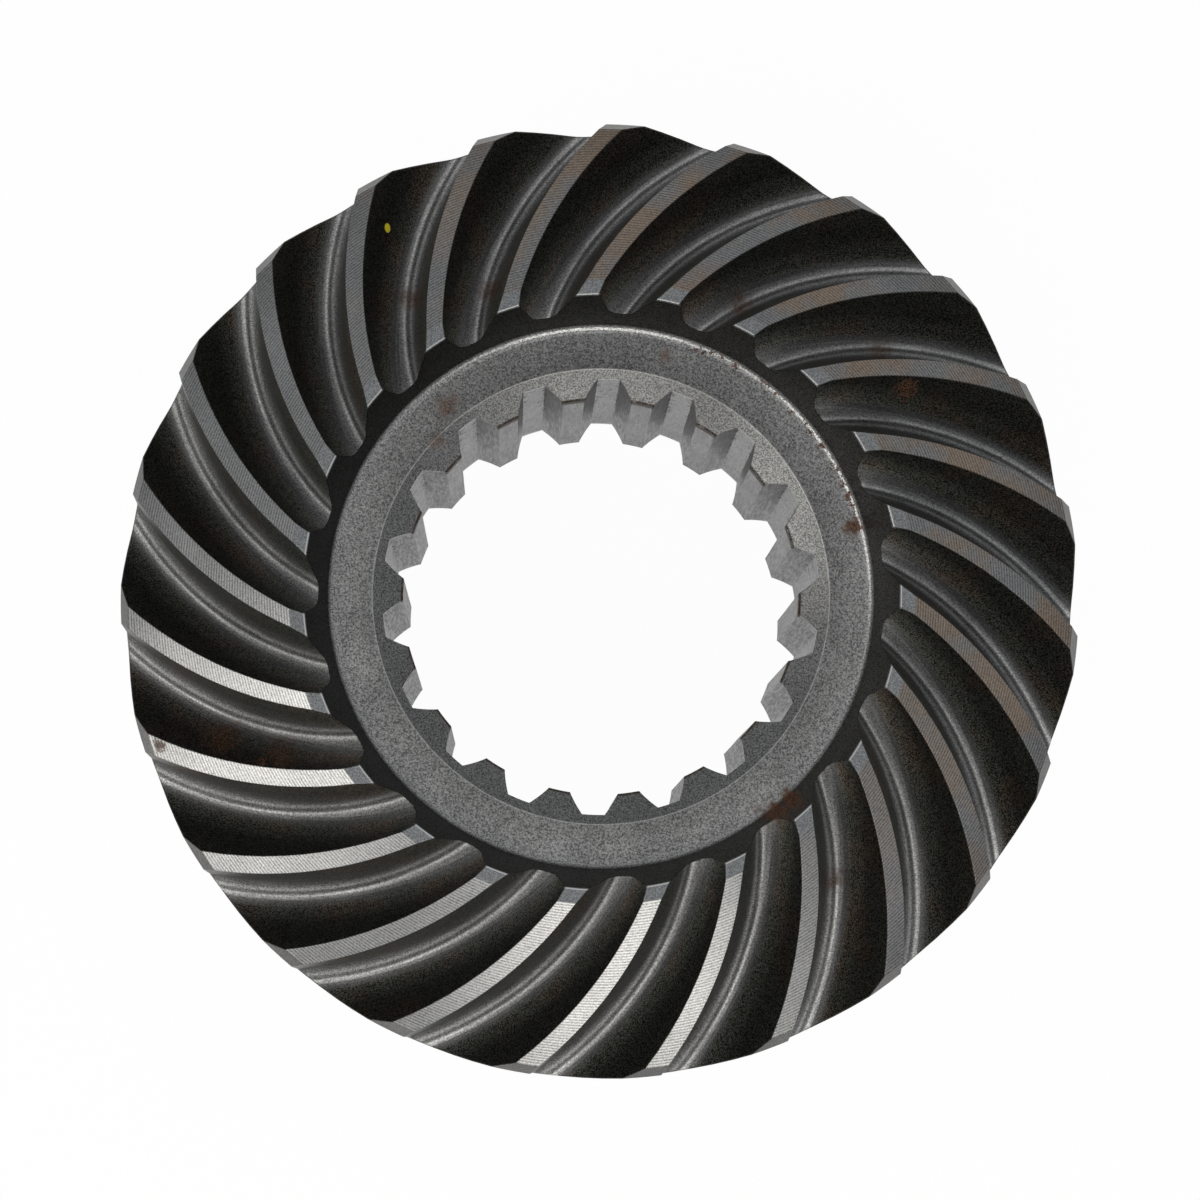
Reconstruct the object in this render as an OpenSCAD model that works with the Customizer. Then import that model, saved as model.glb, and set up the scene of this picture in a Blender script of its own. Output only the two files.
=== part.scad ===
// Spiral bevel gear with a splined bore, cut from one forging.
// Z is the bore axis and runs up through the toothed side. Z = 0 is the flat back end of the hub.

/* [Hub and bore] */
// Height of the hub's front ring above the back end
hub_h = 85; // [80:1:95]
// Diameter of the plain bearing seat at the back
seat_d = 130; // [120:1:140]
// Edge chamfer at the back end of the seat
seat_chamfer = 2.5; // [1:0.5:4]
// Diameter of the shoulder the bearing stops against
shoulder_d = 152; // [145:1:170]
// Height of the shoulder below the rim
shoulder_h = 12; // [8:1:16]
// Corner radius where the shoulder meets the rim
shoulder_fillet = 4; // [2:0.5:6]
// Diameter at which the lead-in chamfer of the bore starts
lead_d = 104.4; // [102:0.2:110]
// Depth of that chamfer at the spline tips
lead_depth = 2.2; // [1:0.1:4]

/* [Spline] */
// Number of spline teeth
spline_teeth = 18; // [16:1:20]
// Diameter at the bottom of the spline spaces
spline_major_d = 100; // [98:0.5:101]
// Diameter at the spline tips
spline_minor_d = 90.6; // [89:0.2:92]
// Module of the involute flanks
spline_module = 5; // [4.9:0.02:5.06]
// Pressure angle of the involute flanks
spline_pressure = 30; // [29:0.5:31]
// Width of a spline space on its pitch circle
spline_space_w = 11.2; // [10.8:0.1:11.6]
// Angle from a tooth slot to the nearest spline tooth
spline_clock = 3.8; // [0:0.1:20]

/* [Gear blank] */
// Outside diameter at the heel of the teeth
outer_d = 219.7; // [217:0.1:222]
// Height of the tooth crown above the hub's front ring
crown_rise = 14.7; // [14:0.1:16]
// Outer diameter of the flat turned on the crown
crown_d = 141.2; // [138:0.2:146]
// Inner diameter of that flat, at the toe of the teeth
toe_d = 134.4; // [130:0.2:136]
// Face cone angle, from the axis
face_angle = 68.8; // [67:0.1:70]
// Radial width of the chamfer on the heel
heel_chamfer_w = 2.05; // [1:0.05:3]
// Height of the chamfer on the heel
heel_chamfer_h = 4.8; // [3:0.1:6]
// Diameter of the recess around the front ring, at its floor
recess_d = 124; // [120:0.5:126]
// Corner radius of the recess
recess_fillet = 2; // [1:0.25:3]
// Thickness of the rim under the mean point of the slots
rim_under = 23.75; // [22:0.25:28]
// Edge chamfer at the back of the rim
rim_chamfer = 2.5; // [1:0.5:4]

/* [Teeth] */
// Number of gear teeth
teeth = 23; // [22:1:24]
// Mean diameter of the toothed face
mean_d = 176; // [174:1:178]
// Depth of the slot floor at the mean diameter, below the hub's front ring
root_drop = 8.75; // [8:0.05:9.5]
// Root cone angle, from the axis
root_angle = 60.2; // [59.5:0.1:61]
// Spiral angle at the mean diameter
spiral_angle = 37.5; // [36:0.5:39]
// Radius of the ring-shaped cutter
cutter_r = 97.3; // [95:0.1:102]
// Width of the slot floor between the flanks
point_w = 4; // [3.8:0.1:4.6]
// Flank angle on the cutter's inner side
inner_flank = 27.7; // [27:0.1:28.5]
// Flank angle on the cutter's outer side
outer_flank = 17.2; // [16.5:0.1:18]
// Corner radius at the slot floor
root_fillet = 2; // [1:0.1:2.4]

/* [Hidden] */
$fn = 180;

tip_r = spline_minor_d / 2;
major_r = spline_major_d / 2;
lead_r = lead_d / 2;
outer_r = outer_d / 2;
crown_r = crown_d / 2;
toe_r = toe_d / 2;
crown_z = hub_h + crown_rise;
heel_r = outer_r - heel_chamfer_w;
heel_z = crown_z - (heel_r - crown_r) / tan(face_angle);
root_z = hub_h - root_drop;
rim_z = root_z - rim_under;
shoulder_r = shoulder_d / 2;
shoulder_z = rim_z - shoulder_h;
seat_r = seat_d / 2;
wall_lean = atan2(toe_r - recess_d / 2, crown_rise);
blade_h = crown_z - root_z;
sweep_heel = 24;
sweep_toe = 26;

// Points of a round corner of radius r, about the centre [x, y], from angle a to angle b in n steps.
function corner(x, y, r, a, b, n = 4) =
    [for (i = [0 : n]) [x + r * cos(a + (b - a) * i / n), y + r * sin(a + (b - a) * i / n)]];

// Polar angle of an involute flank at radius r, measured from its start on the base circle.
function involute(r, base_r) = tan(acos(base_r / r)) * 180 / PI - acos(base_r / r);

// Half profile of the turned blank, bore included.
module blank() {
    recess_x = recess_d / 2 - recess_fillet * tan(45 - wall_lean / 2);
    rotate_extrude()
        polygon(concat(
            [[tip_r, lead_depth], [lead_r, 0], [seat_r - seat_chamfer, 0], [seat_r, seat_chamfer]],
            [[seat_r, shoulder_z], [shoulder_r, shoulder_z]],
            corner(shoulder_r + shoulder_fillet, rim_z - shoulder_fillet, shoulder_fillet, 180, 90),
            [[outer_r - rim_chamfer, rim_z], [outer_r, rim_z + rim_chamfer]],
            [[outer_r, heel_z - heel_chamfer_h], [heel_r, heel_z], [crown_r, crown_z], [toe_r, crown_z]],
            corner(recess_x, hub_h + recess_fillet, recess_fillet, -wall_lean, -90),
            [[lead_r, hub_h], [tip_r, hub_h - lead_depth]]
        ));
}

// One tooth slot: the sweep of a ring-shaped cutter whose axis stands square on the root cone.
module slot() {
    in_x = cutter_r - point_w / 2;
    out_x = cutter_r + point_w / 2;
    in_c = in_x + root_fillet * tan(45 - inner_flank / 2);
    out_c = out_x - root_fillet * tan(45 - outer_flank / 2);
    translate([mean_d / 2, 0, root_z])
        rotate([0, 90 - root_angle, 0])
            translate([-cutter_r * sin(spiral_angle), -cutter_r * cos(spiral_angle), 0])
                rotate([0, 0, 90 - spiral_angle - sweep_heel])
                    rotate_extrude(angle = sweep_heel + sweep_toe)
                        polygon(concat(
                            corner(in_c, root_fillet, root_fillet, 180 + inner_flank, 270, 3),
                            corner(out_c, root_fillet, root_fillet, 270, 360 - outer_flank, 3),
                            [[out_x + blade_h * tan(outer_flank), blade_h]],
                            [[in_x - blade_h * tan(inner_flank), blade_h]]
                        ));
}

// The spaces between the spline teeth, with involute sides and a round bottom.
module spline_spaces() {
    pitch_r = spline_module * spline_teeth / 2;
    base_r = pitch_r * cos(spline_pressure);
    half = spline_space_w / pitch_r * 90 / PI + involute(pitch_r, base_r);
    radii = [for (i = [0 : 5]) tip_r - 0.6 + (major_r + 1.2 - tip_r) * i / 5];
    side = [for (r = radii) [r, half - involute(r, base_r)]];
    intersection() {
        translate([0, 0, -1])
            cylinder(h = hub_h + 2, r = major_r);
        for (i = [0 : spline_teeth - 1])
            rotate([0, 0, spline_clock + (i + 0.5) * 360 / spline_teeth])
                translate([0, 0, -2])
                    linear_extrude(height = hub_h + 4)
                        polygon(concat(
                            [for (p = side) [p[0] * cos(p[1]), p[0] * sin(p[1])]],
                            [for (i = [5 : -1 : 0]) [side[i][0] * cos(side[i][1]), -side[i][0] * sin(side[i][1])]]
                        ));
    }
}

module spiral_bevel_gear() {
    color([0.45, 0.45, 0.44])
        difference() {
            blank();
            for (i = [0 : teeth - 1])
                rotate([0, 0, i * 360 / teeth])
                    slot();
            spline_spaces();
        }
}

spiral_bevel_gear();
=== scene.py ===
"""Looks of a spiral bevel gear: one procedural steel material on the CAD solid, a pale floor, soft lamps, camera."""
import math
from collections import namedtuple

import bpy
from mathutils import Matrix, Vector


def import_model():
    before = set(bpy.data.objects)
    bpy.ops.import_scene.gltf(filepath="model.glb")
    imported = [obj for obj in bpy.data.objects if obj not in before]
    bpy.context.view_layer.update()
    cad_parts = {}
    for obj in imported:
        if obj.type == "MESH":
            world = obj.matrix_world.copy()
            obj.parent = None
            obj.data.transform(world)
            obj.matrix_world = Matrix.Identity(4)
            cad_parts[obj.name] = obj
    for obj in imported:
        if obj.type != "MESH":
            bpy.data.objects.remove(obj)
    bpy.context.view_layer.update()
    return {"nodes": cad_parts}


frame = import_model()
gear = frame["nodes"]["spiral_bevel_gear"]


def rgb(grey, warmth=0.0):
    """A grey, made warmer or cooler by a small share."""
    return (grey * (1 + warmth), grey, grey * (1 - warmth), 1.0)


# Sizes that the material needs, in mm and degrees, as in the part's source.
MM = 1000.0
RING_Z = 85.0
RING_R = 60.6
LEAD_R = 52.2
LEAD_DEPTH = 2.25
SPLINE_ROOT_R = 50.0
SPLINE_TIP_R = 45.3
SPLINE_TEETH = 18
SPLINE_CLOCK = 13.8
CROWN_Z = 99.7
CROWN_R = 70.6
TOE_R = 67.2
RECESS_R = 62.0
FACE_ANGLE = 68.8
HEEL_R = 107.8
HEEL_Z = 85.27
HEEL_STEEPNESS = 4.8 / 2.05
OUTER_R = 109.85
RIM_Z = 52.5
TEETH = 23
MEAN_R = 88.0
ROOT_Z = 76.25
ROOT_ANGLE = 60.2
ROOT_DEPTH = 2.4
SPIRAL_ANGLE = 37.5
CUTTER_R = 97.3
# How the middle of a slot turns with the radius: degrees per mm, and degrees at the mean radius.
SLOT_LAG = -0.48
SLOT_TURN = 2.63

# What a surface is like: its colour, share of metal and roughness. For a kind of steel, also how far grain, patches
# and tool lines vary its colour. A noise moves a roughness that is a pair. The root's colour is painted highlights,
# from the table of greys across the slot's bottom.
Finish = namedtuple("Finish", "colour metal rough")
Steel = namedtuple("Steel", "colour metal rough grain patch lines")
STEELS = {
    "turned": Steel(rgb(0.17, 0.01), 1.0, (0.3, 0.42), 0.3, 0.2, 0.2),
    "land": Steel(rgb(0.205, -0.005), 1.0, 0.31, 0.3, 0.12, 0.0),
    "crown": Steel(rgb(0.225, -0.03), 1.0, 0.34, 0.4, 0.08, 0.0),
    "heel": Steel(rgb(0.11, 0.03), 1.0, 0.4, 0.5, 0.3, 0.0),
    "ring": Steel(rgb(0.187, -0.005), 0.8, 0.52, 0.64, 0.12, 0.0),
    "fillet": Steel(rgb(0.25), 0.9, 0.36, 0.6, 0.1, 0.2),
    "lead": Steel(rgb(0.132), 1.0, 0.3, 0.6, 0.1, 0.0),
    "spline": Steel(rgb(0.165), 0.85, (0.34, 0.5), 0.8, 0.15, 0.55),
    "flank": Steel((1.0, 1.02, 0.87, 1.0), 0.3, 0.43, 1.5, 0.1, 0.15),
    "wall": Steel((0.019, 0.0185, 0.017, 1.0), 0.4, 0.38, 0.9, 0.1, 0.0),
    "root": Steel(None, 0.38, 0.54, 0.45, 0.15, 0.25),
}
SPECULAR = 0.44

# Scales of the noises, per mm, and the span in which a noise mostly lies.
GRAIN_SCALE = 2.7
PATCH_SCALE = 0.055
BLOT_SCALE = 0.5
NOISE_SPAN = (0.3, 0.7)
GRAIN_SPAN = (0.28, 0.72)
# How fast tool lines change across the cut and along it, per mm (round the lathe: per radian).
TURNING = (0.8, 0.6)
CUTTING = (0.9, 0.05)
BROACHING = (1.8, 0.12)
TEARING = (0.35, 0.28)
NEXT_SLOT = 5.3

# Rings left by the lathe: pitch in mm, share of light, and on the tooth tops their height in mm.
TURNED_PITCH, TURNED_LINES = 0.6, 0.06
LAND_PITCH, LAND_LINES, LAND_RELIEF = 0.62, 0.3, 0.0045
# Height of the grain, and the radius to which edges are shaded round, in mm.
GRAIN_RELIEF = 0.014
EDGE_ROUND = 0.25

# Brown clouds on the tooth tops of one side, which is x + y over an edge with a soft width, and the tops' darker end.
CLOUD_COLOUR = (0.22, 0.17, 0.13, 1.0)
CLOUD_NOISE, CLOUD_SHARE, CLOUD_SIDE = 0.51, 0.85, (30.0, 60.0)
LAND_DARKER_FROM_R, LAND_HEEL_LIGHT = 94.0, 0.82

# Greys up the inner and outer flank and across the slot's bottom: place in mm, grey. Up the flanks they are painted
# light, lighter towards the root and darker towards the top.
INNER_FLANK = ((0.0, 0.1), (2.0, 0.06), (3.0, 0.047), (5.0, 0.031), (7.0, 0.028), (9.0, 0.034), (12.0, 0.036))
OUTER_FLANK = ((0.0, 0.1), (2.0, 0.088), (3.0, 0.068), (4.5, 0.046), (6.0, 0.037), (7.5, 0.023), (9.0, 0.014),
               (12.0, 0.01))
# Across the slot's bottom the greys are painted highlights: two bright lines of the fillets beside a dark line where
# the two flank cuts meet.
ROOT_PAINTED_HIGHLIGHTS = ((-2.6, 0.08), (-1.8, 0.095), (-1.3, 0.13), (-0.9, 0.2), (-0.6, 0.23), (-0.35, 0.15), (-0.05, 0.085),
              (0.3, 0.085), (0.55, 0.15), (0.85, 0.38), (1.05, 0.39), (1.35, 0.26), (1.7, 0.18), (2.1, 0.14),
              (2.6, 0.11))
# The painted highlights drift across the slot on their way along, as the fillets' highlights do: share at the mean
# radius, and its change per mm.
ROOT_DRIFT = 0.036
ROOT_CURVE = 0.0007
FLANK_STAIN = (1.35, 0.96, 0.71, 1.0)
FLANK_DARKEST = 0.12
STAIN_NOISE, STAIN_SHARE = 0.55, 0.7

# Light on parts of a surface, as a share: painted shade on one side of the ring and painted light towards its outer
# edge, painted shade deeper in the bore, greys by place across the spline, painted shade on one side of the wall, and
# painted light towards the heel of the slot's bottom.
# A pair of lengths is an edge, or half a width, and its soft width in mm.
RING_PAINTED_SHADE = 0.76
RING_SHADE_Y, RING_SHADE_LEANING_Y, RING_SHADE_LEAN = (20.0, 30.0), (30.0, 30.0), -0.3
RING_LIGHT = (0.84, 1.2)
BORE_LIT_Z, BORE_DEEP_LIGHT = 45.0, 0.62
SPLINE_SIDE, SPLINE_SIDE_LIGHT = (1.7, 0.5), 0.55
SPLINE_TIP_LIGHT = 0.7
WALL_PAINTED_SHADE = (0.5, -0.35)
ROOT_LIGHT = (-20.0, 14.0, 1.3, 0.95)

# Torn corners of the spline's spaces, a dark band on its tips, polished edges with a painted highlight, and a fleck of
# paint.
TORN_COLOUR = (0.012, 0.008, 0.005, 1.0)
TORN_NOISE, TORN_CORNER, TORN_Z = 0.635, 6.0, (42.0, 16.0)
LIP = Finish((0.03, 0.02, 0.014, 1.0), 0.3, 0.6)
LIP_WIDTH, LIP_DEPTH = 0.5, 6.0
# Polished edges, lighter in colour: partly wear, partly a painted highlight.
POLISHED_AND_HIGHLIGHT = Finish(rgb(0.6), 1.0, 0.25)
INSIDE_EDGE_SHARE = 0.3
PAINT = Finish((0.62, 0.5, 0.03, 1.0), 0.0, 0.45)
PAINT_FLECK, PAINT_SIZE = (-57.8, 79.8, 81.2), 1.1

# Rust on the front, strong and faint: x, y, size.
RUST_SPOTS = ((44.2, -45.1, 3.2), (47.3, -42.1, 2.6), (55.7, 21.7, 2.2), (-72.5, -45.5, 1.2))
RUST_TINTS = ((8.9, 56.6, 1.8), (-82.1, -40.3, 4.0), (-68.8, -43.1, 4.0), (-50.8, 63.9, 3.0), (-32.6, 67.3, 2.8),
              (-41.0, 31.7, 1.9), (-39.5, 39.5, 2.8), (24.9, 70.0, 2.8), (64.2, 53.8, 2.4), (58.5, 64.2, 2.6),
              (-96.1, -44.3, 1.6), (59.9, -58.8, 2.4))
RUST_DARK = (0.022, 0.011, 0.006, 1.0)
RUST_LIGHT = (0.11, 0.048, 0.023, 1.0)
RUST_METAL, RUST_ROUGH = 0.1, 0.75
SPOT_SHARE, TINT_SHARE, SPECK_SHARE, FRECKLE_SHARE = 0.95, 0.65, 0.7, 0.9
SPECK_NOISE, FRECKLE_NOISE = 0.73, 0.56
SPOT_RAGGED, SPOT_EDGE = -3.2, -2.5
FRECKLE_ANGLE, FRECKLE_REACH = math.radians(50.0), 0.5
FAR = 9.0

# The camera, fitted to the photograph, in m.
IMAGE_PX = 1200
FOCAL_PX = 4400
SENSOR_MM = 36.0
CAMERA_DISTANCE = 1.00424
CAMERA_TILT = 0.086
CAMERA_AZIMUTH = math.radians(-97.92)
CAMERA_ROLL = math.radians(13.83)
CAMERA_CLIP = (0.05, 50.0)
RING_OFFSET_RIGHT = 0.000275
RING_OFFSET_DOWN = -0.000986

# The lamps, each at a polar angle round the gear's axis, and the floor, in m.
LAMPS = (("softbox_near", -80.0), ("softbox_left", -153.0))
LAMP_COLOUR = (1.0, 0.97, 0.9)
LAMP_OFF_AXIS = math.radians(42.0)
LAMP_DISTANCE = 1.1
LAMP_SIZE = 0.56
LAMP_RADIANCE = 4.2
LAMP_TARGET = Vector((0.0, 0.0, 0.09))
SKY = rgb(0.6, -0.015)
FLOOR_HALF = 12.0
FLOOR_Z = -0.0004
FLOOR_COLOUR = rgb(0.8)
FLOOR_WHITE_SHARE = 0.97


class Graph:
    """Short calls that add shader nodes. A value is a number, a tuple or the output socket of another node."""

    def __init__(self, tree):
        self.tree = tree
        tree.nodes.clear()

    def feed(self, socket, value):
        if isinstance(value, bpy.types.NodeSocket):
            self.tree.links.new(value, socket)
        else:
            socket.default_value = value

    def add(self, kind, inputs=None, **settings):
        node = self.tree.nodes.new("ShaderNode" + kind)
        for name, value in settings.items():
            setattr(node, name, value)
        for key, value in (inputs or {}).items():
            self.feed(node.inputs[key], value)
        return node

    def calc(self, operation, *values):
        return self.add("Math", dict(enumerate(values)), operation=operation).outputs[0]

    def plus(self, a, b):
        return self.calc("ADD", a, b)

    def minus(self, a, b):
        return self.calc("SUBTRACT", a, b)

    def times(self, a, b):
        return self.calc("MULTIPLY", a, b)

    def both(self, *masks):
        result = masks[0]
        for mask in masks[1:]:
            result = self.times(result, mask)
        return result

    def either(self, *masks):
        result = masks[0]
        for mask in masks[1:]:
            result = self.calc("MAXIMUM", result, mask)
        return result

    def invert(self, mask):
        return self.minus(1.0, mask)

    def above(self, value, edge, soft):
        """0 below the edge, 1 above it, over a soft width."""
        return self.remap(value, edge - soft, edge + soft, 0.0, 1.0)

    def below(self, value, edge, soft):
        """1 below the edge, 0 above it, over a soft width."""
        return self.remap(value, edge - soft, edge + soft, 1.0, 0.0)

    def band(self, value, centre, half, soft):
        """1 within half a width of the centre, 0 outside, over a soft width."""
        return self.below(self.calc("ABSOLUTE", self.minus(value, centre)), half, soft)

    def remap(self, value, low, high, to_low, to_high):
        """One range smoothly turned into another, and held at its ends."""
        inputs = {"Value": value, "From Min": low, "From Max": high, "To Min": to_low, "To Max": to_high}
        return self.add("MapRange", inputs, interpolation_type="SMOOTHSTEP").outputs[0]

    def mix(self, factor, a, b):
        return self.add("Mix", {0: factor, 2: a, 3: b}).outputs[0]

    def tint(self, factor, a, b):
        return self.add("Mix", {0: factor, 6: a, 7: b}, data_type="RGBA").outputs[2]

    def shade(self, colour, factor):
        """The colour times a number."""
        if isinstance(colour, tuple):
            colour = colour[:3]
        return self.add("VectorMath", {0: colour, "Scale": factor}, operation="SCALE").outputs[0]

    def vector(self, x, y, z):
        return self.add("CombineXYZ", {0: x, 1: y, 2: z}).outputs[0]

    def distance(self, place, point):
        return self.add("VectorMath", {0: place, 1: point}, operation="DISTANCE").outputs["Value"]

    def noise(self, vector, scale, detail, roughness):
        inputs = {"Vector": vector, "Scale": scale, "Detail": detail, "Roughness": roughness}
        return self.add("TexNoise", inputs).outputs[0]

    def ramp(self, value, stops):
        """A grey that follows a list of places and greys."""
        low, high = stops[0][0], stops[-1][0]
        share = self.calc("MULTIPLY_ADD", value, 1 / (high - low), -low / (high - low))
        node = self.add("ValToRGB", {0: share})
        points = node.color_ramp.elements
        while len(points) < len(stops):
            points.new(0.5)
        for point, (place, grey) in zip(points, stops):
            point.position = (place - low) / (high - low)
            point.color = rgb(grey)
        return node.outputs[0]

    def wave(self, value, pitch):
        """A sine from -1 to 1 over a length in mm."""
        return self.calc("SINE", self.times(value, 2 * math.pi / pitch))


def coordinates(g):
    """Position on the gear in mm, its radius and polar angle."""
    place = g.shade(g.add("TexCoord").outputs["Object"], MM)
    x, y, z = g.add("SeparateXYZ", {0: place}).outputs
    radius = g.calc("SQRT", g.plus(g.times(x, x), g.times(y, y)))
    return {"place": place, "x": x, "y": y, "z": z, "radius": radius, "angle": g.calc("ARCTAN2", y, x)}


def slot_coordinates(g, at):
    """Where a point lies in its tooth slot: distance from the cutter's circle, height over the floor, way along."""
    pitch = 2 * math.pi / TEETH
    beyond = g.minus(at["radius"], MEAN_R)
    middle = g.calc("MULTIPLY_ADD", beyond, math.radians(SLOT_LAG), math.radians(SLOT_TURN))
    index = g.calc("ROUND", g.times(g.minus(at["angle"], middle), 1 / pitch))
    angle = g.minus(at["angle"], g.times(index, pitch))
    along = g.minus(g.times(at["radius"], g.calc("COSINE", angle)), MEAN_R)
    across = g.times(at["radius"], g.calc("SINE", angle))
    rise = g.minus(at["z"], ROOT_Z)
    slope = math.radians(90 - ROOT_ANGLE)
    spiral = math.radians(SPIRAL_ANGLE)
    down = g.minus(g.times(along, math.cos(slope)), g.times(rise, math.sin(slope)))
    height = g.plus(g.times(along, math.sin(slope)), g.times(rise, math.cos(slope)))
    cutter_x = g.plus(down, CUTTER_R * math.sin(spiral))
    cutter_y = g.plus(across, CUTTER_R * math.cos(spiral))
    reach = g.calc("SQRT", g.plus(g.times(cutter_x, cutter_x), g.times(cutter_y, cutter_y)))
    sweep = g.minus(g.calc("ARCTAN2", cutter_y, cutter_x), math.pi / 2 - spiral)
    return {"lateral": g.minus(reach, CUTTER_R), "height": height, "sweep": g.times(sweep, CUTTER_R), "index": index}


def zones(g, at, slot):
    """Masks, from 0 to 1, of the gear's differently finished surfaces, by their place in mm and a soft width."""
    radius, z = at["radius"], at["z"]
    drop = g.minus(CROWN_Z, z)
    cone = g.calc("MULTIPLY_ADD", g.minus(radius, CROWN_R), -1 / math.tan(math.radians(FACE_ANGLE)), drop)
    crown = g.both(g.below(drop, 0.3, 0.1), g.below(radius, CROWN_R, 0.05))
    land = g.below(cone, 0.25, 0.1)
    chamfer = g.calc("MULTIPLY_ADD", g.minus(radius, HEEL_R), -HEEL_STEEPNESS, g.minus(HEEL_Z, z))
    heel = g.both(g.band(chamfer, 0.0, 0.5, 0.2), g.above(radius, HEEL_R, 0.05))
    bore = g.below(radius, LEAD_R - 0.05, 0.05)
    from_middle = g.calc("ABSOLUTE", g.minus(z, RING_Z / 2))
    lead = g.both(bore, g.above(from_middle, RING_Z / 2 - LEAD_DEPTH, 0.05))
    recess = g.above(radius, RING_R + 0.6, 0.5)
    toothed = g.both(g.above(z, RIM_Z + 3.0, 0.5), recess)
    ring = g.both(g.band(z, RING_Z, 0.4, 0.2), g.invert(recess), g.invert(bore))
    teeth = g.both(toothed, g.below(radius, OUTER_R - 0.25, 0.1))
    tilt = (TOE_R - RECESS_R) / (CROWN_Z - RING_Z)
    lean = g.calc("MULTIPLY_ADD", g.minus(z, RING_Z), -tilt, g.minus(radius, RECESS_R))
    wall = g.both(toothed, g.below(lean, 0.2, 0.12))
    fillet = g.both(g.band(z, RING_Z + 0.6, 1.1, 0.6), g.band(radius, RING_R + 0.6, 0.9, 0.4))
    root = g.both(teeth, g.below(slot["height"], ROOT_DEPTH, 1.3), g.invert(wall))
    return {"crown": crown, "land": land, "heel": heel, "bore": bore, "lead": lead, "ring": ring, "teeth": teeth,
            "wall": wall, "fillet": fillet, "root": root}


def tool_lines(g, at, slot, zone):
    """A noise drawn out along each zone's cut: round the lathe, along the slots, or along the bore."""
    turning = g.vector(g.times(g.plus(at["radius"], at["z"]), TURNING[0]), g.times(at["angle"], TURNING[1]), 0.0)
    cutting = g.vector(g.times(g.plus(slot["lateral"], slot["height"]), CUTTING[0]),
                       g.times(slot["sweep"], CUTTING[1]), g.times(slot["index"], NEXT_SLOT))
    broaching = g.vector(g.times(at["angle"], BROACHING[0] * SPLINE_ROOT_R), g.times(at["z"], BROACHING[1]),
                         g.times(at["radius"], BROACHING[0]))
    along = g.tint(zone["bore"], g.tint(zone["teeth"], turning, cutting), broaching)
    return g.noise(along, 1.0, 2.0, 0.65)


def textures(g, at, slot, zone):
    """The noises that all the finishes share: fine grain, wide patches, blots and tool lines."""
    grain = g.noise(at["place"], GRAIN_SCALE, 1.5, 0.7)
    return {"grain": grain,
            "salt": g.remap(grain, *GRAIN_SPAN, 0.0, 1.0),
            "patch": g.noise(at["place"], PATCH_SCALE, 2.0, 0.65),
            "blot": g.noise(at["place"], BLOT_SCALE, 3.0, 0.72),
            "lines": tool_lines(g, at, slot, zone)}


def cover(g, under, over, mask):
    """One finish over another, where the mask is 1."""
    return Finish(g.tint(mask, under.colour, over.colour), g.mix(mask, under.metal, over.metal),
                  g.mix(mask, under.rough, over.rough))


def mottle(g, tex, steel):
    """A factor about 1 that varies by a steel's shares of grain, patches and tool lines."""
    light = 1.0 - 2 * (steel.patch + steel.lines)
    for name, share in (("patch", steel.patch), ("lines", steel.lines)):
        if share:
            light = g.calc("MULTIPLY_ADD", tex[name], 4 * share, light)
    return g.times(g.calc("MULTIPLY_ADD", tex["salt"], 2 * steel.grain, 1.0 - steel.grain), light)


def plain(g, tex, name):
    """The finish of a surface that needs no more than its row in the table: toe flats, heel, fillet, lead-in."""
    steel = STEELS[name]
    return Finish(g.shade(steel.colour, mottle(g, tex, steel)), steel.metal, steel.rough)


def turned(g, at, tex):
    """Lathe-turned steel on the rim, the hub and the back: rings about the axis, uneven from cut to cut."""
    steel = STEELS["turned"]
    line = g.wave(g.plus(at["radius"], at["z"]), TURNED_PITCH)
    light = g.calc("MULTIPLY_ADD", line, TURNED_LINES, mottle(g, tex, steel))
    return Finish(g.shade(steel.colour, light), steel.metal, g.remap(tex["patch"], *NOISE_SPAN, *steel.rough))


def land(g, at, tex):
    """The turned tops of the teeth: fine even rings, and brown clouds on one side."""
    steel = STEELS["land"]
    light = g.calc("MULTIPLY_ADD", g.wave(at["radius"], LAND_PITCH), LAND_LINES, mottle(g, tex, steel))
    one_side = g.above(g.plus(at["x"], at["y"]), *CLOUD_SIDE)
    cloud = g.times(g.both(g.above(tex["patch"], CLOUD_NOISE, 0.1), one_side), CLOUD_SHARE)
    colour = g.tint(cloud, g.shade(steel.colour, light), g.shade(CLOUD_COLOUR, light))
    # Darker towards the heel end of the tops.
    painted_light_and_heel_darkening = g.remap(at["radius"], LAND_DARKER_FROM_R, HEEL_R, 1.0, LAND_HEEL_LIGHT)
    return Finish(g.shade(colour, painted_light_and_heel_darkening), steel.metal, steel.rough)


def ring(g, at, tex):
    """The blasted front ring: an even matt grain, a painted soft shadow on one side, and painted light towards its
    outer edge.
    """
    steel = STEELS["ring"]
    leaning_y = g.plus(g.times(at["x"], RING_SHADE_LEAN), at["y"])
    # Painted shade: a soft shadow darkens one side of the ring.
    ring_painted_shade = g.both(g.above(at["y"], *RING_SHADE_Y), g.above(leaning_y, *RING_SHADE_LEANING_Y))
    light = g.times(mottle(g, tex, steel), g.mix(ring_painted_shade, 1.0, RING_PAINTED_SHADE))
    # Painted light: the ring gets lighter towards its outer edge.
    light = g.times(light, g.remap(at["radius"], LEAD_R, RING_R, *RING_LIGHT))
    return Finish(g.shade(steel.colour, light), steel.metal, steel.rough)


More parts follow.
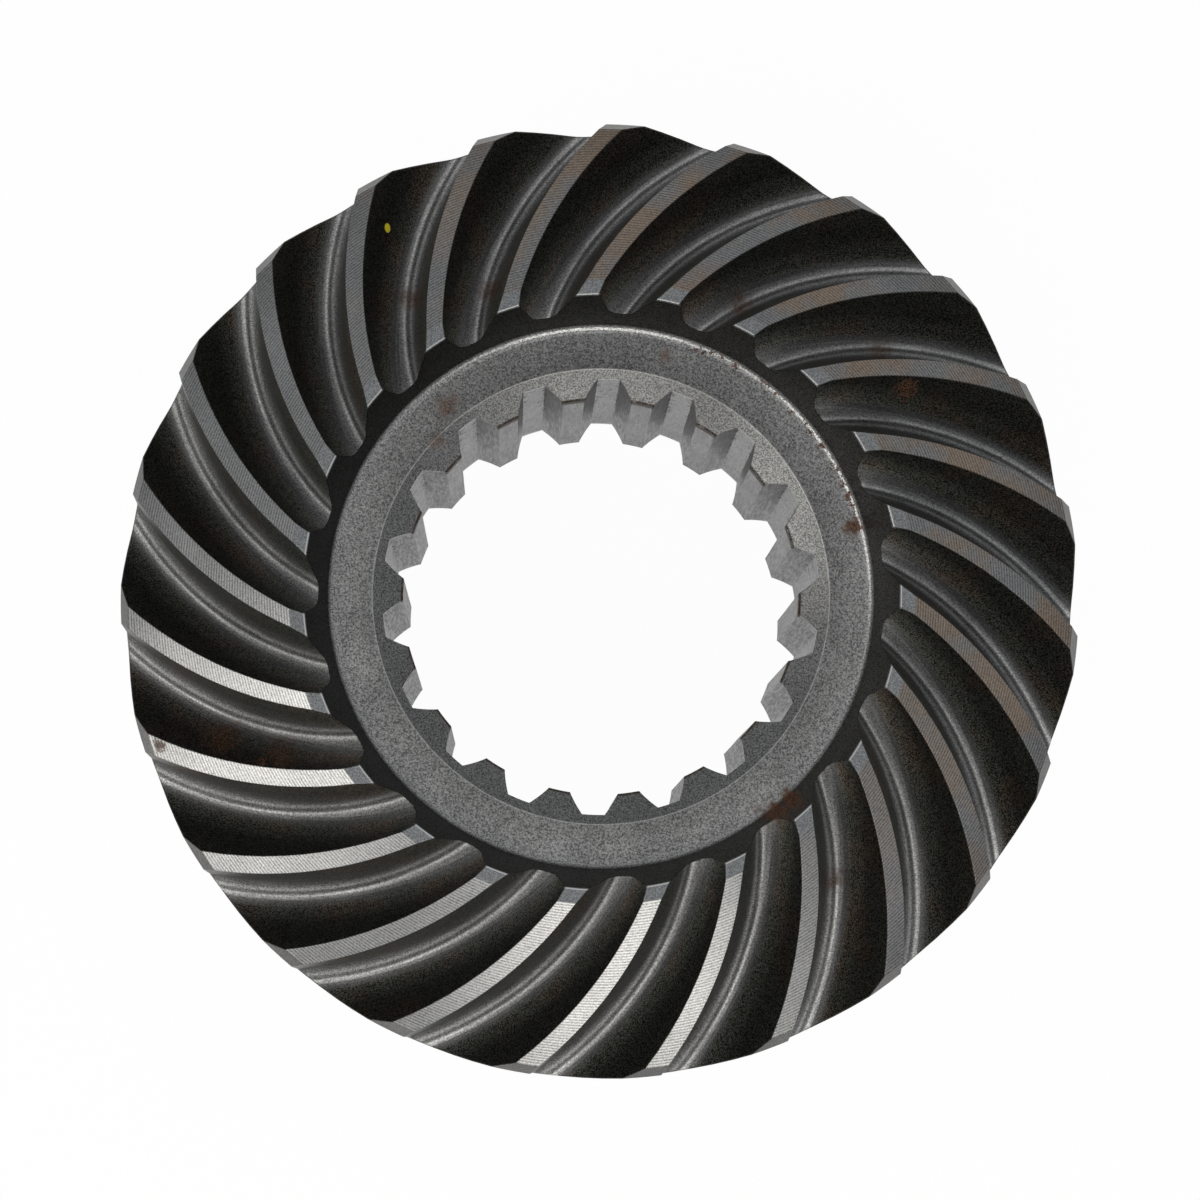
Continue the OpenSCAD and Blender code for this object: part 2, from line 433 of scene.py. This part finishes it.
def dashes(g, at):
    """A mask of torn dark dashes that start from the corners of the spline's spaces."""
    per_degree = SPLINE_TEETH / 360
    turn = g.calc("MULTIPLY_ADD", at["angle"], math.degrees(per_degree), -SPLINE_CLOCK * per_degree)
    corner = g.calc("ABSOLUTE", g.minus(turn, g.calc("ROUND", turn)))
    place = g.vector(g.times(at["angle"], TEARING[0] * SPLINE_ROOT_R), g.times(at["z"], TEARING[1]), 3.0)
    torn = g.calc("MULTIPLY_ADD", g.times(corner, corner), TORN_CORNER, g.noise(place, 1.0, 2.0, 0.6))
    bottom = g.above(at["radius"], SPLINE_ROOT_R - 0.5, 0.2)
    return g.both(g.above(torn, TORN_NOISE, 0.02), g.above(at["z"], *TORN_Z), bottom)


def spline(g, at, tex):
    """Broached steel: scratches along the bore, painted shade deeper in the bore, darker flanks and tips, and torn
    corners.
    """
    steel = STEELS["spline"]
    side = g.band(at["radius"], (SPLINE_ROOT_R + SPLINE_TIP_R) / 2, *SPLINE_SIDE)
    # Painted shade: the bore gets darker deeper in.
    light = g.times(mottle(g, tex, steel), g.remap(at["z"], 0.0, BORE_LIT_Z, BORE_DEEP_LIGHT, 1.0))
    light = g.times(light, g.mix(side, 1.0, SPLINE_SIDE_LIGHT))
    light = g.times(light, g.remap(at["radius"], SPLINE_TIP_R, SPLINE_ROOT_R, SPLINE_TIP_LIGHT, 1.0))
    colour = g.tint(dashes(g, at), g.shade(steel.colour, light), TORN_COLOUR)
    return Finish(colour, steel.metal, g.remap(tex["lines"], *NOISE_SPAN, *steel.rough))


def lip(g, at, tex):
    """A mask of a dark brown band along the front edge of the spline's tips."""
    edge = g.both(g.below(at["radius"], SPLINE_TIP_R + LIP_WIDTH, 0.15), g.above(at["z"], RING_Z - LIP_DEPTH, 1.0))
    return g.times(edge, g.remap(tex["blot"], 0.3, 0.55, 0.5, 1.0))


def flank(g, slot, tex):
    """The black tooth flanks: a satin grain, faint streaks along the cut, brown patches, and painted light that makes
    them lighter towards the root.
    """
    steel = STEELS["flank"]
    outer = g.above(slot["lateral"], 0.0, 1.0)
    # Painted light: the greys by height make the flanks lighter towards the root and darker towards the top.
    painted_light_and_heel_darkening = g.mix(outer, g.ramp(slot["height"], INNER_FLANK), g.ramp(slot["height"], OUTER_FLANK))
    light = g.times(g.calc("MAXIMUM", mottle(g, tex, steel), FLANK_DARKEST), painted_light_and_heel_darkening)
    stain = g.times(g.above(tex["patch"], STAIN_NOISE, 0.1), STAIN_SHARE)
    colour = g.tint(stain, g.shade(steel.colour, light), g.shade(FLANK_STAIN, light))
    return Finish(colour, steel.metal, steel.rough)


def wall(g, at, tex):
    """The dark turned wall inside the crown, with painted shade that darkens it towards one side."""
    steel = STEELS["wall"]
    # Painted shade: darker towards one side of the wall.
    wall_painted_shade = g.calc("MULTIPLY_ADD", at["y"], WALL_PAINTED_SHADE[1] / RECESS_R, 1.0)
    wall_painted_shade = g.calc("MULTIPLY_ADD", at["x"], WALL_PAINTED_SHADE[0] / RECESS_R, wall_painted_shade)
    return Finish(g.shade(steel.colour, g.times(wall_painted_shade, mottle(g, tex, steel))), steel.metal, steel.rough)


def root(g, slot, tex):
    """The slot's bottom: painted highlights, two bright lines of the fillets beside the dark one where the two flank
    cuts meet, drifting across the slot, and painted light towards the heel.
    """
    steel = STEELS["root"]
    # Painted highlights: the colour across the slot draws the fillets' bright lines, and painted light makes them
    # lighter towards the heel.
    drift = g.calc("MULTIPLY_ADD", slot["sweep"], ROOT_CURVE, ROOT_DRIFT)
    side = g.calc("MULTIPLY_ADD", slot["sweep"], drift, slot["lateral"])
    light = g.times(mottle(g, tex, steel), g.remap(slot["sweep"], *ROOT_LIGHT))
    return Finish(g.shade(g.ramp(side, ROOT_PAINTED_HIGHLIGHTS), light), steel.metal, steel.rough)


def relief(g, at, tex, zone):
    """The height of the marks in mm: grain, and the rings on the tooth tops."""
    rings = g.times(g.wave(at["radius"], LAND_PITCH), LAND_RELIEF)
    return g.mix(zone["land"], g.times(tex["grain"], GRAIN_RELIEF), rings)


def near_spots(g, flat, spots):
    """The distance to the nearest of some spots, as a share of that spot's size."""
    nearest = FAR
    for x, y, size in spots:
        off = g.distance(flat, (x, y, 0.0))
        nearest = g.calc("MINIMUM", g.times(off, 1 / size), nearest)
    return nearest


def rust_mask(g, at, tex):
    """Rust: strong and faint spots at their places, freckles along the ring's edge, and a few specks all over."""
    flat = g.vector(at["x"], at["y"], 0.0)
    mask = g.times(g.above(tex["blot"], SPECK_NOISE, 0.02), SPECK_SHARE)
    uneven = g.plus(tex["blot"], tex["grain"])
    for spots, share in ((RUST_SPOTS, SPOT_SHARE), (RUST_TINTS, TINT_SHARE)):
        ragged = g.calc("MULTIPLY_ADD", uneven, SPOT_RAGGED, near_spots(g, flat, spots))
        mask = g.either(mask, g.times(g.below(ragged, SPOT_EDGE, 0.3), share))
    arc = g.both(g.band(at["angle"], FRECKLE_ANGLE, FRECKLE_REACH, 0.1), g.band(at["radius"], RING_R + 0.4, 0.9, 0.5))
    freckle = g.both(arc, g.above(tex["blot"], FRECKLE_NOISE, 0.04), g.above(at["z"], RING_Z - 1.0, 0.2))
    mask = g.either(mask, g.times(freckle, FRECKLE_SHARE))
    return g.both(mask, g.above(at["z"], RIM_Z + 5.0, 1.0))


def rust(g, tex):
    """Matt rust, in two browns."""
    brown = g.tint(g.remap(tex["grain"], 0.35, 0.65, 0.0, 1.0), RUST_DARK, RUST_LIGHT)
    return Finish(brown, RUST_METAL, RUST_ROUGH)


def edges(g, at):
    """A mask of edges that handling has polished, made lighter as a painted highlight: round the ring's inside and
    along the toe.
    """
    inside = g.both(g.band(at["radius"], LEAD_R, 0.14, 0.1), g.above(at["z"], RING_Z - 0.5, 0.1))
    toe = g.both(g.band(at["radius"], TOE_R + 0.05, 0.22, 0.1), g.above(at["z"], CROWN_Z - 0.5, 0.2))
    return g.either(g.times(inside, INSIDE_EDGE_SHARE), toe)


def steel_look(g, at, slot, zone, tex):
    """The finish of every surface, one laid over the other, then a dark band on the spline's tips, polished edges with
    a painted highlight, paint and rust.
    """
    look = turned(g, at, tex)
    layers = (("teeth", flank(g, slot, tex)), ("wall", wall(g, at, tex)), ("root", root(g, slot, tex)),
              ("ring", ring(g, at, tex)), ("fillet", plain(g, tex, "fillet")), ("land", land(g, at, tex)),
              ("crown", plain(g, tex, "crown")), ("heel", plain(g, tex, "heel")), ("bore", spline(g, at, tex)),
              ("lead", plain(g, tex, "lead")))
    for name, over in layers:
        look = cover(g, look, over, zone[name])
    look = cover(g, look, LIP, lip(g, at, tex))
    # Polished edges, lighter in colour: partly wear, partly a painted highlight.
    look = cover(g, look, POLISHED_AND_HIGHLIGHT, edges(g, at))
    fleck = g.below(g.distance(at["place"], PAINT_FLECK), PAINT_SIZE, 0.15)
    look = cover(g, look, PAINT, fleck)
    return cover(g, look, rust(g, tex), rust_mask(g, at, tex))


def steel_material():
    """The gear's steel: turned, milled, blasted and broached surfaces, each with its own marks, painted light and shade
    on some, and rust on top.
    """
    material = bpy.data.materials.new("gear_steel_wear_and_painted_light")
    material.use_nodes = True
    g = Graph(material.node_tree)
    at = coordinates(g)
    slot = slot_coordinates(g, at)
    zone = zones(g, at, slot)
    tex = textures(g, at, slot, zone)
    look = steel_look(g, at, slot, zone, tex)
    rounded = g.add("Bevel", {"Radius": EDGE_ROUND / MM}, samples=2)
    bump = g.add("Bump", {"Height": relief(g, at, tex, zone), "Distance": 1 / MM, "Strength": 1.0,
                          "Normal": rounded.outputs[0]})
    shader = g.add("BsdfPrincipled", {"Base Color": look.colour, "Metallic": look.metal,
                                      "Roughness": look.rough, "Normal": bump.outputs[0],
                                      "Specular IOR Level": g.times(tex["salt"], SPECULAR)})
    g.feed(g.add("OutputMaterial").inputs["Surface"], shader.outputs[0])
    return material


def camera():
    """The photograph's camera: a long lens almost square on the gear."""
    tilt, azimuth, roll = CAMERA_TILT, CAMERA_AZIMUTH, CAMERA_ROLL
    back = Vector((math.cos(azimuth) * math.sin(tilt), math.sin(azimuth) * math.sin(tilt), math.cos(tilt)))
    level = Vector((-math.sin(azimuth), math.cos(azimuth), 0.0))
    lower = -back.cross(level)
    right = math.cos(roll) * level - math.sin(roll) * lower
    down = math.sin(roll) * level + math.cos(roll) * lower
    aim = Vector((0.0, 0.0, RING_Z / MM)) - RING_OFFSET_RIGHT * right - RING_OFFSET_DOWN * down
    data = bpy.data.cameras.new("camera")
    data.sensor_width = SENSOR_MM
    data.lens = SENSOR_MM * FOCAL_PX / IMAGE_PX
    data.clip_start, data.clip_end = CAMERA_CLIP
    holder = bpy.data.objects.new("camera", data)
    turn = Matrix((right, -down, back)).transposed().to_4x4()
    holder.matrix_world = Matrix.Translation(aim + CAMERA_DISTANCE * back) @ turn
    bpy.context.scene.collection.objects.link(holder)
    bpy.context.scene.camera = holder


def softbox(name, polar):
    """A square lamp that looks at the gear's front from a polar angle, in degrees."""
    round_axis = math.radians(polar)
    out = math.sin(LAMP_OFF_AXIS)
    way = Vector((math.cos(round_axis) * out, math.sin(round_axis) * out, math.cos(LAMP_OFF_AXIS)))
    data = bpy.data.lights.new(name, "AREA")
    data.shape = "SQUARE"
    data.size = LAMP_SIZE
    data.color = LAMP_COLOUR
    data.energy = LAMP_RADIANCE * math.pi * LAMP_SIZE * LAMP_SIZE
    holder = bpy.data.objects.new(name, data)
    holder.location = LAMP_TARGET + LAMP_DISTANCE * way
    holder.rotation_mode = "QUATERNION"
    holder.rotation_quaternion = (-way).to_track_quat("-Z", "Y")
    bpy.context.scene.collection.objects.link(holder)


def world():
    """Plain grey studio light from all round."""
    studio = bpy.data.worlds.new("studio")
    studio.use_nodes = True
    g = Graph(studio.node_tree)
    sky = g.add("Background", {"Color": SKY, "Strength": 1.0})
    g.feed(g.add("OutputWorld").inputs["Surface"], sky.outputs[0])
    bpy.context.scene.world = studio


def floor_material():
    """White where it is seen or mirrored, pale where it only bounces light, with a faint shadow left."""
    material = bpy.data.materials.new("floor_white")
    material.use_nodes = True
    g = Graph(material.node_tree)
    ray = g.add("LightPath").outputs
    seen = g.either(ray["Is Camera Ray"], ray["Is Glossy Ray"], ray["Is Transmission Ray"])
    lit = g.add("BsdfDiffuse", {"Color": FLOOR_COLOUR})
    white = g.add("Emission", {"Color": rgb(1.0), "Strength": 1.0})
    shown = g.add("MixShader", {0: g.times(seen, FLOOR_WHITE_SHARE), 1: lit.outputs[0], 2: white.outputs[0]})
    g.feed(g.add("OutputMaterial").inputs["Surface"], shown.outputs[0])
    return material


def floor():
    """A wide pale floor just under the gear."""
    corners = [(x * FLOOR_HALF, y * FLOOR_HALF, FLOOR_Z) for x, y in ((-1, -1), (1, -1), (1, 1), (-1, 1))]
    mesh = bpy.data.meshes.new("floor")
    mesh.from_pydata(corners, [], [(0, 1, 2, 3)])
    mesh.materials.append(floor_material())
    plane = bpy.data.objects.new("floor", mesh)
    bpy.context.scene.collection.objects.link(plane)


gear.data.materials[0] = steel_material()
camera()
for lamp_name, lamp_polar in LAMPS:
    softbox(lamp_name, lamp_polar)
world()
floor()
bpy.context.scene.view_settings.view_transform = "Standard"
